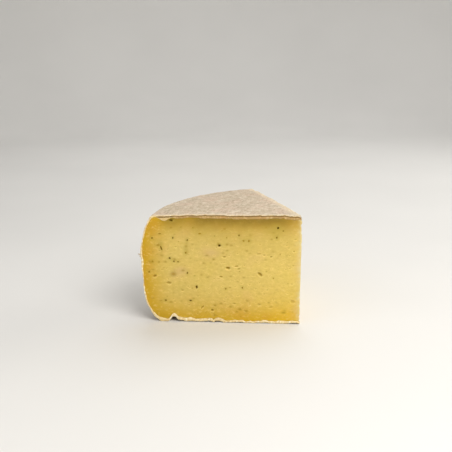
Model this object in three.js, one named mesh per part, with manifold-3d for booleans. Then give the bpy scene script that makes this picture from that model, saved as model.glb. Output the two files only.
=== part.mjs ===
// A piece of a semi-hard wheel cheese, cut from the wheel's centre out to the rind and standing on
// its underside. It is one solid: the cut paste with its eyes and a tear under the upper rind, and
// the bulging, slightly lumpy rind with a crease in the underside and one loose shred at its edge.
// Millimetres, +Z up. Inside the functions the tip of the piece, the wheel's centre line, stands at
// x = 0, y = 0, and the front cut runs from it along -X. The origin is the bottom centre of the box.
import * as THREE from "three";
import { LoftGeometry } from "three/addons/geometries/LoftGeometry.js";
import { mergeVertices } from "three/addons/utils/BufferGeometryUtils.js";
import Module from "manifold-3d";

const { degToRad, lerp, smoothstep } = THREE.MathUtils;

// The wheel, as its cut section shows it
const height = 96.6;
const bellyRadius = 137.4;
const bellyHeight = 50;
const upperDraw = 10.4;
const upperDrawPower = 3.3;
const lowerDraw = 14.7;
const lowerDrawPower = 3.4;
const waistDepth = 1.4;
const waistHeight = 38.8;
const waistSpread = 9.1;
const topRound = 1.8;
const bottomRound = 2.7;

// The cut: two upright faces that meet at the tip
const cutAngle = degToRad(69);
const tipBlunt = 0.6;
const tipWear = 1.2;
const tipWearReach = 3;

// The top is lower near the rim, rises a little on its way to the tip, slopes down over the last
// stretch and droops there
const shoulderDrop = 0.8;
const topRise = 0.5;
const tipSlope = 0.7;
const tipSlopeReach = 14;
const tipDroop = 1.1;
const tipDroopReach = 2;

// How far the slow waves move each surface
const cutWave = 0.28;
const rimWave = 0.55;
const topWave = 0.4;
const undersideWave = 1.5;
const undersideRest = 0.35;

// The crease that follows the rim in the underside, from the front cut inwards
const creaseRadius = 110;
const creaseHeight = 4.9;
const creaseOuter = 5;
const creaseInner = 4;
const creaseSweep = degToRad(24);

// Mesh steps
const cutSteps = 22;
const wallSteps = 14;
const roundSteps = 3;
const creaseSteps = 9;
const stationGrading = 0.62;

// Slow waves: the way each one runs and its length
const waves = [
  { along: new THREE.Vector3(1, 0.4, 0.7).normalize(), length: 47 },
  { along: new THREE.Vector3(-0.5, 1, 0.3).normalize(), length: 31 },
  { along: new THREE.Vector3(0.3, -0.8, 1).normalize(), length: 22 },
];

// Eyes in the front cut that show in any light: distance from the tip, height above the underside,
// length, height of the opening, and its tilt in degrees, positive where it rises towards the tip
const frontEyes = [
  [69.6, 70.1, 2.6, 2.2, 0],
  [62.4, 50.2, 4.2, 2.4, -12],
  [35, 45, 5.2, 2.2, -40],
  [113.8, 35.9, 4.8, 2.2, -8],
  [125.8, 42, 3.6, 2.2, 20],
  [89.6, 32.4, 3.4, 1.8, 84],
  [36.1, 63.2, 4.4, 1.5, 5],
  [65.5, 60.2, 3.2, 1.3, 0],
  [68.5, 42.2, 3.2, 1.5, 0],
  [102, 29.3, 2.6, 1.5, -5],
  [25.8, 15.1, 4.2, 1.6, 8],
  [35.7, 17.5, 3.2, 1.7, 0],
  [57.2, 18.1, 3.6, 1.5, -6],
  [84.8, 14.1, 4, 1.6, 50],
  [76.4, 11.3, 2.8, 2.2, 0],
  [7, 20.7, 4.4, 3.2, -20],
];
const eyeDepthShare = 0.4;
const backEyeCount = 22;

// Gaps that stand open under the front cut's lower edge: distance from the tip, length and height
const edgeGaps = [
  [104.6, 9, 1.4],
  [80, 9, 1.2],
  [70.6, 8.4, 1.2],
  [53, 9, 0.5],
  [29.8, 6.5, 0.5],
  [5.5, 9, 0.8],
];
const edgeGapReach = 12;
const edgeGapSink = 0.2;

// The tear under the upper rind of the front cut, and the shred at the rim's edge
const tear = [110.4, 92, 4.4, 1.8, 8];
const shred = { height: 60.8, length: 4.4, width: 1.8, thickness: 1.6 };

const wasm = await Module();
wasm.setup();

// Numbers between 0 and 1 that come out the same on every run
let drawn = 17;
function draw() {
  drawn = (drawn * 16807) % 2147483647;
  return drawn / 2147483647;
}

// The level direction that leads out of the tip at an angle from the front cut
function outward(angle) {
  return new THREE.Vector3(-Math.cos(angle), Math.sin(angle), 0);
}

// A bell curve: 1 at no distance, and nearly 0 at twice its reach
function bell(distance, reach) {
  return Math.exp(-((distance / reach) ** 2));
}

// The mean of the slow waves at a point, between -1 and 1
function wave(point, phase) {
  const sum = waves.reduce((total, { along, length }, i) => {
    const turns = point.dot(along) / length + phase * (0.37 + 0.21 * i);
    return total + Math.sin(2 * Math.PI * turns);
  }, 0);
  return sum / waves.length;
}

// The rim's distance from the centre line at a height, before its corners are rounded
function rimRadius(z) {
  const above = Math.max(0, (z - bellyHeight) / (height - bellyHeight));
  const below = Math.max(0, (bellyHeight - z) / bellyHeight);
  const waist = waistDepth * bell(z - waistHeight, waistSpread);
  const drawnIn = upperDraw * above ** upperDrawPower + lowerDraw * below ** lowerDrawPower;
  return bellyRadius - drawnIn - waist;
}

// The rim's outline from the underside's edge to the top's edge, as radius and height
function rimProfile() {
  const outline = [];
  for (let i = 0; i < roundSteps; i++) {
    const turn = (i / roundSteps) * (Math.PI / 2);
    const z = bottomRound * (1 - Math.cos(turn));
    outline.push(new THREE.Vector2(rimRadius(z) - bottomRound * (1 - Math.sin(turn)), z));
  }
  for (let i = 0; i <= wallSteps; i++) {
    const z = lerp(bottomRound, height - topRound, i / wallSteps);
    outline.push(new THREE.Vector2(rimRadius(z), z));
  }
  for (let i = 1; i <= roundSteps; i++) {
    const turn = (i / roundSteps) * (Math.PI / 2);
    const z = height - topRound * (1 - Math.sin(turn));
    outline.push(new THREE.Vector2(rimRadius(z) - topRound * (1 - Math.cos(turn)), z));
  }
  return outline;
}

// A step's share of the way from the tip to the rim, with the steps closer near both ends
function station(step) {
  const even = step / cutSteps;
  return even - (stationGrading * Math.sin(2 * Math.PI * even)) / (2 * Math.PI);
}

// A block bent into the piece. Two of its upright edges become the tip and the middle of the rim, and
// the other two the rim's ends on the cuts, so near the tip its cells are rhombs. a runs along the
// front cut, b along the back cut, and each level is scaled to the rim's radius at its height.
function sectorPoint(a, b, level) {
  return new THREE.Vector3()
    .addScaledVector(outward((b * cutAngle) / 2), a)
    .addScaledVector(outward(cutAngle - (a * cutAngle) / 2), b)
    .addScaledVector(outward(cutAngle / 2), -a * b)
    .multiplyScalar(level.x)
    .setZ(level.y);
}

// How far the top stands above its own height, apart from its slow wave
function topLift(fromTip) {
  const rise = topRise * (1 - smoothstep(fromTip, 50, 110));
  const drop = shoulderDrop * smoothstep(fromTip, 106, 119);
  const slope = tipSlope * bell(fromTip, tipSlopeReach);
  return rise - drop - slope - tipDroop * bell(fromTip, tipDroopReach);
}

// The slow waves of the cuts and the rind, and the tip's blunt edge and worn upper corner
function makeUneven(point, onRim) {
  const still = point.clone();
  const fromTip = Math.hypot(still.x, still.y);
  const nearTop = smoothstep(still.z, height - 14, height);
  const nearUnderside = 1 - smoothstep(still.z, 0, 14);
  const lift = Math.max(0, undersideWave * wave(still, 5) - undersideRest);
  const wear = tipWear * smoothstep(still.z, height - 5, height) * bell(fromTip, tipWearReach);
  point.x += cutWave * wave(still, 1);
  point.y += cutWave * wave(still, 2);
  point.z += nearTop * (topWave * wave(still, 4) + topLift(fromTip)) + nearUnderside * lift;
  if (onRim) point.addScaledVector(still.setZ(0).normalize(), rimWave * wave(point, 3));
  point.addScaledVector(outward(cutAngle / 2), fromTip === 0 ? tipBlunt + wear : wear);
}

// The whole piece before anything is cut out of it
function sectorGeometry() {
  const levels = rimProfile();
  const block = new THREE.BoxGeometry(1, 1, 1, cutSteps, cutSteps, levels.length - 1);
  const position = block.attributes.position;
  const point = new THREE.Vector3();
  for (let i = 0; i < position.count; i++) {
    point.fromBufferAttribute(position, i).addScalar(0.5);
    const b = station(Math.round(point.x * cutSteps));
    const a = station(Math.round(point.y * cutSteps));
    const level = levels[Math.round(point.z * (levels.length - 1))];
    const placed = sectorPoint(a, b, level);
    makeUneven(placed, a === 1 || b === 1);
    position.setXYZ(i, placed.x, placed.y, placed.z);
  }
  return block;
}

// The crease's hollow: a low ridge that follows the rim under the piece and dies away
function creaseGeometry() {
  const start = -0.04;
  const sections = [];
  for (let step = 0; step <= creaseSteps; step++) {
    const angle = lerp(start, creaseSweep, step / creaseSteps);
    const size = 1 - 0.85 * (step / creaseSteps) ** 2;
    const section = [
      [creaseOuter, -1],
      [0.9, creaseHeight * 0.85],
      [0, creaseHeight],
      [-0.8, creaseHeight * 0.9],
      [-creaseInner, -1],
    ];
    sections.push(
      section.map(([out, up]) =>
        outward(angle)
          .multiplyScalar(creaseRadius + out * size)
          .setZ(up < 0 ? up : up * size),
      ),
    );
  }
  return new LoftGeometry(sections, { capStart: true, capEnd: true });
}

// An eye's hollow: a small ellipsoid with its centre in a cut face
function eyeGeometry([distance, z, length, opening, tilt], cut) {
  return new THREE.SphereGeometry(0.5, 8, 6)
    .scale(length, Math.max(opening, 1.6) * 2 * eyeDepthShare, opening)
    .rotateY(degToRad(-tilt))
    .rotateZ(-cut)
    .translate(...outward(cut).multiplyScalar(distance).setZ(z));
}

// A gap under the lower edge: the upper half of an ellipsoid that runs in from the cut
function edgeGapGeometry([distance, length, open]) {
  return new THREE.SphereGeometry(0.5, 8, 6)
    .scale(length, 2 * edgeGapReach, 2 * (open + edgeGapSink))
    .translate(-distance, 0, -edgeGapSink);
}

// Small eyes spread over the back cut by chance, clear of the rind and of each other
function backEyes() {
  const eyes = [];
  while (eyes.length < backEyeCount) {
    const z = lerp(9, height - 9, draw());
    const distance = lerp(8, rimRadius(z) - 10, draw());
    const length = lerp(2, 4.4, draw() ** 2);
    const eye = [distance, z, length, length * lerp(0.4, 0.8, draw()), lerp(-30, 30, draw())];
    if (eyes.every(([s, h]) => Math.hypot(s - distance, h - z) > 7)) eyes.push(eye);
  }
  return eyes;
}

// The shred of rind that sticks out at the front cut's edge
function shredGeometry() {
  const { length, width, thickness } = shred;
  return new THREE.SphereGeometry(0.5, 7, 6)
    .scale(length, width, thickness)
    .rotateY(degToRad(-12))
    .translate(-rimRadius(shred.height) - 0.5, width * 0.6, shred.height);
}

// A closed geometry as a solid for the boolean steps
function solidOf(geometry) {
  const bare = new THREE.BufferGeometry()
    .setAttribute("position", geometry.attributes.position)
    .setIndex(geometry.index);
  const merged = mergeVertices(bare, 1e-4);
  return new wasm.Manifold(
    new wasm.Mesh({
      numProp: 3,
      vertProperties: new Float32Array(merged.attributes.position.array),
      triVerts: new Uint32Array(merged.index.array),
    }),
  );
}

// A solid as a geometry, with its vertices on a grid of a ten-thousandth of a millimetre
function geometryOf(solid) {
  const { vertProperties, triVerts } = solid.getMesh();
  const rounded = Float32Array.from(vertProperties, (v) => Math.round(v * 1e4) / 1e4);
  return new THREE.BufferGeometry()
    .setAttribute("position", new THREE.BufferAttribute(rounded, 3))
    .setIndex(new THREE.BufferAttribute(new Uint32Array(triVerts), 1));
}

const hollows = [
  creaseGeometry(),
  ...edgeGaps.map(edgeGapGeometry),
  eyeGeometry(tear, 0),
  ...frontEyes.map((eye) => eyeGeometry(eye, 0)),
  ...backEyes().map((eye) => eyeGeometry(eye, cutAngle)),
];
const whole = hollows.reduce(
  (solid, hollow) => solid.subtract(solidOf(hollow)),
  solidOf(sectorGeometry()).add(solidOf(shredGeometry())),
);

const cheeseGeometry = geometryOf(whole);
cheeseGeometry.computeBoundingBox();
const { min, max } = cheeseGeometry.boundingBox;
cheeseGeometry.computeVertexNormals();

const paste = new THREE.MeshStandardMaterial({ color: 0xdcbf6a, roughness: 0.55, metalness: 0 });
const cheese = new THREE.Mesh(cheeseGeometry, paste);
cheese.name = "cheese";
cheese.position.set(-(min.x + max.x) / 2, -(min.y + max.y) / 2, -min.z);

const group = new THREE.Group();
group.add(cheese);

export default group;
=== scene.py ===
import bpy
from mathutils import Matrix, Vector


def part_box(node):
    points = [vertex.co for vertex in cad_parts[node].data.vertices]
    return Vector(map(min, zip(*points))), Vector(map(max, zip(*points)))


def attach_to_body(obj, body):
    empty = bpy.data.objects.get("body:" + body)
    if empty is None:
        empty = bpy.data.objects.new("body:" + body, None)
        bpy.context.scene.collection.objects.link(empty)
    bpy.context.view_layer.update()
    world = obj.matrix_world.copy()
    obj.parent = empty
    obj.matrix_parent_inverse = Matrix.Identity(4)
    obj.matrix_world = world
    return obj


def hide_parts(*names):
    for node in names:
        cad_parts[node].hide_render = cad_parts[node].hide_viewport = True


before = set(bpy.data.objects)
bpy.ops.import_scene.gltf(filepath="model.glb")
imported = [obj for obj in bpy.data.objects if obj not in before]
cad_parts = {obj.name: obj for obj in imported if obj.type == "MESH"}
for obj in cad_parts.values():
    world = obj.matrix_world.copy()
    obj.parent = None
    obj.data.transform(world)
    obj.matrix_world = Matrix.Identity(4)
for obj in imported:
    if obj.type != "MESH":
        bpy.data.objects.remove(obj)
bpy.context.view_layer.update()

import math
from itertools import product
from types import SimpleNamespace

import bpy
import numpy as np
from mathutils import Matrix, Vector

bl_info = {
    "name": "Wild garlic cheese",
    "version": (1, 0, 0),
    "blender": (4, 5, 0),
    "location": "3D View > Sidebar > Cheese",
    "description": "A piece cut from a wheel of cheese with wild garlic, its rind and a stage",
    "category": "Add Mesh",
}

# The wheel's section and the cut, in millimetres, as the frame's solid has them
HEIGHT = 96.6
BELLY_RADIUS = 137.4
BELLY_HEIGHT = 50.0
UPPER_DRAW = 10.4
UPPER_DRAW_POWER = 3.3
LOWER_DRAW = 14.7
LOWER_DRAW_POWER = 3.4
WAIST_DEPTH = 1.4
WAIST_HEIGHT = 38.8
WAIST_SPREAD = 9.1
TOP_ROUND = 1.8
BOTTOM_ROUND = 2.7
CUT_ANGLE = math.radians(69)
TIP_WEAR = 1.2
TIP_WEAR_REACH = 3.0
SHOULDER_DROP = 0.8
TOP_RISE = 0.5
TIP_SLOPE = 0.7
TIP_SLOPE_REACH = 14.0
TIP_DROOP = 1.1
TIP_DROOP_REACH = 2.0

# How far the slow waves move each surface, and each wave's direction and length
CUT_WAVE = 0.28
RIM_WAVE = 0.55
TOP_WAVE = 0.4
UNDERSIDE_WAVE = 1.5
UNDERSIDE_REST = 0.35
WAVES = (((1, 0.4, 0.7), 47), ((-0.5, 1, 0.3), 31), ((0.3, -0.8, 1), 22))

# The crease in the underside: where it runs, and its section as offsets and shares of its height
CREASE_RADIUS = 110.0
CREASE_HEIGHT = 4.9
CREASE_START = -0.04
CREASE_SWEEP = math.radians(24)
CREASE_SECTION = ((-4.6, -3, -2, 0, 1.2, 2.6, 4.4), (0, 0.47, 0.82, 1, 0.84, 0.48, 0))

# Gaps under the front cut's lower edge: distance from the tip, length and height
EDGE_GAPS = (
    (104.6, 9, 1.4),
    (80, 9, 1.2),
    (70.6, 8.4, 1.2),
    (53, 9, 0.5),
    (29.8, 6.5, 0.5),
    (5.5, 9, 0.8),
)
EDGE_GAP_REACH = 12.0

# Eyes of the front cut: distance from the tip, height, length, opening, tilt in degrees, and how
# much shade is painted inside them, from 0 to 1, which also sets their depth and their lip
FRONT_EYES = (
    (69.6, 70.1, 2.6, 2.2, 0, 1.0),
    (62.4, 50.2, 4.2, 2.4, -12, 1.0),
    (35, 45, 5.2, 2.6, -40, 0.9),
    (113.8, 35.9, 4.8, 2.2, -8, 0.55),
    (125.8, 42, 3.6, 2.2, 20, 0.8),
    (89.6, 32.4, 3.4, 1.8, 84, 1.0),
    (36.1, 63.2, 4.4, 1.5, 5, 0.45),
    (65.5, 60.2, 3.2, 1.3, 0, 0.8),
    (68.5, 42.2, 3.2, 1.5, 0, 0.95),
    (102, 29.3, 2.6, 1.5, -5, 0.5),
    (25.8, 15.1, 4.2, 1.6, 8, 0.3),
    (35.7, 17.5, 3.2, 1.7, 0, 0.4),
    (57.2, 18.1, 3.6, 1.5, -6, 0.5),
    (84.8, 14.1, 4, 1.6, 50, 0.55),
    (76.4, 11.3, 2.8, 2.2, 0, 0.9),
    (7, 20.7, 4.4, 3.2, -20, 0.35),
)

# Eyes of the back cut: their number, and the start, factor and modulus of the numbers that the
# solid's own rule draws
BACK_EYE_COUNT = 22
DRAW_RULE = (17, 16807, 2147483647)

# Shallow slits in the surface of the front cut, in rows like the eyes'
FRONT_SLITS = (
    (55.2, 51.9, 3.8, 1.2, 4, 0.95),
    (53.1, 49.6, 3.0, 1.1, 3, 0.85),
    (31.7, 62.1, 1.8, 1.2, 0, 0.6),
    (25.8, 60.9, 2.4, 1.4, 8, 0.8),
    (6.5, 66.0, 2.0, 1.2, 0, 0.7),
)

# The tear under the upper rind, in a row like an eye's
TEAR = (110.4, 92, 4.4, 1.8, 8, 0.9)

# The two lobes of the shred on the rim: height, how far out, half length, and tilt in degrees, then
# how far both are from the front cut, and their half width and half height
SHRED = ((60.8, 0.4, 2.3, 20), (59.4, 0.2, 1.5, -8))
SHRED_INWARDS = 0.9
SHRED_HALF_SIZES = (0.8, 0.6)

# Flecks of leaf in the front cut: distance, height, length, opening, and how dry, from 0 to 1
FRONT_FLECKS = (
    (112.3, 58.4, 2.4, 2.1, 0.2),
    (119.4, 67.5, 1.5, 5.8, 0.35),
    (127.2, 76.1, 2.2, 2.0, 0.45),
    (109.2, 76.5, 1.5, 1.9, 0.2),
    (96.8, 74.8, 1.4, 2.4, 0.15),
    (98.4, 63.4, 1.9, 1.8, 0.65),
    (108.8, 55.6, 1.8, 2.0, 0.35),
    (105.3, 55.3, 1.8, 1.6, 0.4),
    (86, 80.5, 3.4, 1.5, 0.85),
    (52.9, 79.5, 1.9, 2.4, 0.45),
    (20.1, 86.2, 2.7, 2.6, 0.0),
    (21.2, 77.9, 1.8, 2.1, 0.5),
    (44.4, 74.6, 2.1, 2.6, 0.9),
    (15.8, 83.7, 1.5, 1.2, 0.4),
    (69.6, 70.4, 2.2, 1.7, 0.0),
    (89.6, 32.8, 1.3, 2.6, 0.0),
    (130.5, 45.8, 2.1, 2.2, 0.6),
    (97.6, 45.3, 1.8, 2.5, 0.3),
    (117.1, 19.9, 2.8, 2.0, 0.5),
    (95.1, 20, 2.9, 1.4, 0.0),
    (64.3, 31.3, 2.2, 1.7, 0.65),
    (50, 32.6, 2.2, 2.1, 0.7),
    (120.5, 80, 2.8, 1.2, 0.6),
    (49, 74.7, 2.2, 1.6, 0.85),
    (109.9, 91.8, 3.6, 1.5, 0.15),
)

# Faint marks of leaf just under the front cut: distance, height, half length, half height, strength
FRONT_MARKS = (
    (122.1, 70.1, 1.5, 1.0, 0.8),
    (119.1, 60.7, 1.3, 0.9, 0.45),
    (116.1, 55.1, 1.3, 1.0, 0.55),
    (108.2, 57.6, 1.2, 0.8, 0.5),
    (92.5, 70.9, 1.2, 0.9, 0.35),
    (59.6, 70.7, 1.4, 1.0, 0.45),
    (80.4, 61.3, 1.6, 0.8, 0.55),
    (74.6, 58, 1.2, 1.0, 0.65),
    (83.2, 54.5, 1.2, 1.0, 0.45),
    (109.4, 44.2, 2.3, 1.7, 0.65),
    (101.1, 47.5, 1.4, 1.0, 0.6),
    (80.1, 41.6, 1.2, 0.9, 0.4),
    (53.8, 38, 1.3, 0.9, 0.4),
    (24.2, 65.3, 1.6, 1.1, 0.35),
    (85.2, 44.1, 1.3, 1.0, 0.4),
    (121, 19.5, 1.3, 0.9, 0.5),
    (112.3, 18.3, 1.5, 0.9, 0.55),
    (73.9, 16, 1.5, 1.0, 0.65),
    (68.5, 17.7, 1.4, 0.9, 0.5),
    (60.3, 14.9, 1.3, 0.9, 0.5),
    (52.1, 12.7, 1.7, 1.1, 0.65),
    (46.7, 11.2, 1.5, 1.0, 0.65),
    (14.3, 10.5, 1.8, 1.0, 0.6),
)

# Stains in the front cut's paste: distance, height, half length, half height, strength, and green
# from 0, greyish pink, to 1
STAINS = (
    (109.7, 44.2, 3.3, 2.4, 0.8, 0.62),
    (103, 47, 6, 4, 0.5, 0.0),
    (76, 63.5, 7, 4, 0.5, 0.0),
    (98, 66, 2.4, 3.6, 0.55, 0.9),
    (22, 82, 6, 5, 0.35, 1.0),
    (47, 75.5, 5, 3.5, 0.3, 0.8),
    (121, 72, 3, 2.4, 0.4, 0.8),
    (104, 30, 9, 6, 0.2, 1.0),
)

# From the front right corner of the frame's box to the tip line in millimetres, because the tip's
# edge is blunt and the cuts are wavy, then the radius of that edge and how far its rounding reaches
TIP_OFFSET = (0.2415, 0.2545)
TIP_ROUND = 0.8
TIP_REACH = TIP_ROUND / math.tan(CUT_ANGLE / 2)

# How deep in the rind the paste's surface lies, as a share of the rind's thickness, and how far
# from the tip the rings that close the paste below and above shrink to
PASTE_INSET = 0.85
CLOSING_RADIUS = 70.0

UP = np.array([0.0, 0.0, 1.0])

# Mesh steps: along the front cut and the back cut, up the paste, along the rind's flat sides, up
# its rim, and across its outside and its inside
FRONT_STEPS = 272
BACK_STEPS = 182
UPWARD_STEPS = 180
FLAT_STEPS = 170
WALL_STEPS = 118
OUTSIDE_STEPS = 152
INSIDE_STEPS = 26

# The camera's place from the tip in metres, and its heading, pitch and roll in degrees
CAMERA_PLACE = (-0.029, -0.511, 0.2238)
CAMERA_TURNS = (3.9, 14.9, -0.32)

# The lights: each one's place and the place that it faces in metres, its side and its colour
LIGHTS = {
    "key": ((0.36, -0.52, 0.62), (0, 0, 0.05), 0.5, (1, 0.98, 0.95)),
    "fill": ((-0.9, -0.7, 0.45), (0, 0, 0.05), 0.9, (0.95, 0.97, 1)),
    "back": ((0.1, 0.9, 1.3), (0, 0.5, 0), 1.2, (1, 1, 1)),
    "side": ((0.9, 0.42, 0.5), (0, 0, 0.05), 0.6, (1, 0.99, 0.96)),
}

# How many random numbers the noise holds, and the odd factors that pick one for a cube's corner
NOISE_NUMBERS = 4096
NOISE_FACTORS = np.array([73856093, 19349663, 83492791])


def linear(red, green, blue):
    """A colour as screens show it, 0 to 255, as the linear numbers that Blender works with."""
    return tuple(((part / 255 + 0.055) / 1.055) ** 2.4 for part in (red, green, blue))


# Tints of the paste, besides the colours that its settings hold
# Near the tip: the paste's yellower tone there, made brighter as painted light
TIP_GOLDEN_AND_LIGHT = linear(224, 180, 22)
TIP_PASTE_AND_LIGHT = linear(228, 199, 100)
WARM_PATCH = linear(222, 190, 116)
COOL_PATCH = linear(213, 190, 96)
ORANGE_PATCH = linear(208, 148, 40)
# Olive-brown under the top rind: partly the paste's own colour, partly painted shade
OLIVE_CRUST_AND_SHADE = linear(146, 118, 34)
PALE_MOTTLE = linear(242, 214, 132)
DARK_MOTTLE = linear(186, 154, 74)
# A painted highlight on the low lips of eyes and slits
EYE_LIP_HIGHLIGHT = linear(248, 222, 132)
# Pale worn edge of the tip: partly dry wear, partly a painted highlight
WORN_EDGE_HIGHLIGHT = linear(220, 205, 154)

# Tints of the rind's mould
PINK_MOULD = linear(204, 172, 150)
OLIVE_MOULD = linear(164, 155, 122)
# Paler mould; on the top by the cuts partly a painted highlight on the edge
PALE_MOULD_AND_HIGHLIGHT = linear(228, 210, 178)
DARK_SPECK = linear(118, 102, 78)

# Tints of the rind where it is cut
TAN_BLOTCH = linear(196, 152, 98)
# Paler strokes across the tan band: painted highlights on its small lumps
TAN_STROKE_HIGHLIGHT = linear(224, 196, 140)
CREAM_STROKE = linear(226, 197, 138)
# White strokes across the cut band: painted highlights on its small lumps
WHITE_STROKE_HIGHLIGHT = linear(255, 247, 220)
GOLDEN_RIND = linear(210, 178, 82)
TORN_RIND = linear(212, 180, 118)
# Olive low on the top's tan band: partly the rind's own colour, partly painted shade under its edge
OLIVE_RIND_AND_SHADE = linear(150, 120, 36)


def number_setting(name, description, default, **more):
    """A number from 0 upwards that the user can change."""
    return bpy.props.FloatProperty(
        name=name, description=description, default=default, min=0, **more
    )


def length_setting(name, description, millimetres):
    """A length that the user can change, given in millimetres and kept in metres."""
    metres = millimetres / 1000
    return number_setting(name, description, metres, precision=4, subtype="DISTANCE", unit="LENGTH")


def colour_setting(name, description, *on_screen):
    """A colour that the user can change, given as screens show it."""
    return bpy.props.FloatVectorProperty(
        name=name,
        description=description,
        default=linear(*on_screen),
        min=0,
        max=1,
        size=3,
        subtype="COLOR",
    )


class PasteSettings(bpy.types.PropertyGroup):
    """Sizes and colours of the paste."""

    eye_depth: number_setting(
        "Eye depth", "How deep an eye is for the height of its opening", 0.55, max=1.5
    )
    margin: length_setting("Margin", "Width of the golden margin inside the rind", 14.5)
    inner: colour_setting("Paste", "Colour in the middle of the cut", 216, 190, 103)
    golden: colour_setting("Golden", "Colour of the paste near the rind", 202, 160, 20)
    # Painted shade deep in an eye or a slit, also the colour of the faint leaf marks
    eye_shade_and_marks: colour_setting("Eye", "Colour deep in an eye", 158, 124, 2)
    green: colour_setting("Garlic stain", "Colour that the leaf gives the paste", 180, 157, 60)
    pink: colour_setting("Grey stain", "Colour of the greyish pink smears", 206, 172, 118)


class RindSettings(bpy.types.PropertyGroup):
    """Sizes and colours of the rind."""

    rim: length_setting("Rim", "The rind's thickness round the wheel", 1.5)
    top: length_setting("Top", "The rind's thickness on the top", 3.3)
    underside: length_setting("Underside", "The rind's thickness under the wheel", 3.3)
    proud: length_setting("Proud", "How far the rind's edge stands out of the cut", 0.35)
    mould: colour_setting("Mould", "Colour of the rind round the rim and below", 186, 169, 142)
    face: colour_setting("Top mould", "Colour of the rind on the top", 198, 180, 156)
    shade: colour_setting("Shade", "Darker patches and streaks of the rind", 150, 133, 108)
    bloom: colour_setting("Bloom", "Palest patches of the rind", 232, 222, 202)
    cut: colour_setting("Cut rind", "Colour of the rind where it is cut", 243, 222, 170)
    # Partly the rind's own crust and partly painted shade under the mould's overhanging edge
    crust: colour_setting("Crust", "The brown line under the top's mould", 108, 78, 34)
    tan: colour_setting("Tan rind", "The top rind below its brown line", 184, 150, 94)


class FleckSettings(bpy.types.PropertyGroup):
    """Number, size and colours of the flecks of wild garlic."""

    front_count: bpy.props.IntProperty(
        name="Front", description="Small flecks spread over the front cut", default=9, min=0
    )
    back_count: bpy.props.IntProperty(
        name="Back", description="Flecks spread over the back cut", default=46, min=0
    )
    longest: length_setting("Longest", "Length of the longest spread fleck", 2.4)
    leaf: colour_setting("Leaf", "Colour of a fleck that is still green", 92, 68, 2)
    dry: colour_setting("Dry leaf", "Colour of a fleck that has turned brown", 172, 138, 40)


class StageSettings(bpy.types.PropertyGroup):
    """The floor, the lights and the camera."""

    floor: colour_setting("Floor", "Colour of the floor", 228, 226, 222)
    floor_radius: number_setting("Floor radius", "Radius of the flat floor", 1.3, unit="LENGTH")
    key: number_setting("Key light", "Power of the main light", 5.35, unit="POWER")
    fill: number_setting("Fill light", "Power of the light from the left", 2.6, unit="POWER")
    back: number_setting("Back light", "Power of the light behind", 9, unit="POWER")
    side: number_setting("Side light", "Power of the light on the back cut", 3, unit="POWER")
    sky: number_setting("Sky", "Strength of the light from all round", 0.3)
    lens: number_setting("Lens", "Focal length on a 36 mm sensor", 50.26, unit="CAMERA")


def smooth(value, low, high):
    """0 at low and 1 at high, level beyond them, and 3t^2 - 2t^3 between them."""
    t = np.clip((value - low) / (high - low), 0, 1)
    return t * t * (3 - 2 * t)


def bell(distance, reach):
    """The bell curve exp(-(distance / reach)^2)."""
    return np.exp(-((distance / reach) ** 2))


def blot(along, height, mark):
    """The bell curve exp(-q^2) about a mark, where q is 1 on the ellipse that its distance, height,
    half length and half height give."""
    distance, centre, half_length, half_height = mark
    return bell(along - distance, half_length) * bell(height - centre, half_height)


def from_tip_line(points):
    """How far points stand from the tip line on the level."""
    return np.hypot(points[..., 0], points[..., 1])


def outward(angle):
    """The level direction out of the tip at an angle from the front cut: -cos, sin, 0."""
    angle = np.asarray(angle, float)
    return np.stack([-np.cos(angle), np.sin(angle), np.zeros_like(angle)], -1)


def sideways(angle):
    """The level direction of growing angle, square to outward: sin, cos, 0."""
    angle = np.asarray(angle, float)
    return np.stack([np.sin(angle), np.cos(angle), np.zeros_like(angle)], -1)


def noise(points, size, seed):
    """Smooth noise between -1 and 1: a random number at each corner of cubes of this size, and
    inside a cube the blend of its corners, each share eased as 3t^2 - 2t^3."""
    table = np.random.default_rng(seed).uniform(-1, 1, NOISE_NUMBERS)
    cell = points / size
    corner = np.floor(cell).astype(np.int64)
    share = smooth(cell - corner, 0, 1)
    total = np.zeros(points.shape[:-1])
    for step in product((0, 1), repeat=3):
        key = np.bitwise_xor.reduce((corner + step) * NOISE_FACTORS, -1)
        weight = np.prod(np.where(step, share, 1 - share), axis=-1)
        total += weight * table[key % NOISE_NUMBERS]
    return total


def wave(points, phase):
    """The mean of three sines, each along its own direction with its own length and start."""
    total = 0
    for i, (along, length) in enumerate(WAVES):
        unit = np.array(along) / np.linalg.norm(along)
        total = total + np.sin(2 * np.pi * (points @ unit / length + phase * (0.37 + 0.21 * i)))
    return total / len(WAVES)


def rim_radius(z):
    """The rim's distance from the tip line: the belly's, drawn in by a power of the share of the
    way from the belly up to the top or down to the floor, and by a bell curve at the waist."""
    above = np.clip((z - BELLY_HEIGHT) / (HEIGHT - BELLY_HEIGHT), 0, None)
    below = np.clip((BELLY_HEIGHT - z) / BELLY_HEIGHT, 0, None)
    drawn_in = UPPER_DRAW * above**UPPER_DRAW_POWER + LOWER_DRAW * below**LOWER_DRAW_POWER
    return BELLY_RADIUS - drawn_in - WAIST_DEPTH * bell(z - WAIST_HEIGHT, WAIST_SPREAD)


def rounded_radius(z):
    """The rim's radius with each of its two corners rounded by a quarter circle."""
    low = np.clip(1 - z / BOTTOM_ROUND, 0, 1)
    high = np.clip(1 - (HEIGHT - z) / TOP_ROUND, 0, 1)
    rounding = BOTTOM_ROUND * (1 - np.sqrt(1 - low**2)) + TOP_ROUND * (1 - np.sqrt(1 - high**2))
    return rim_radius(z) - rounding


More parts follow.
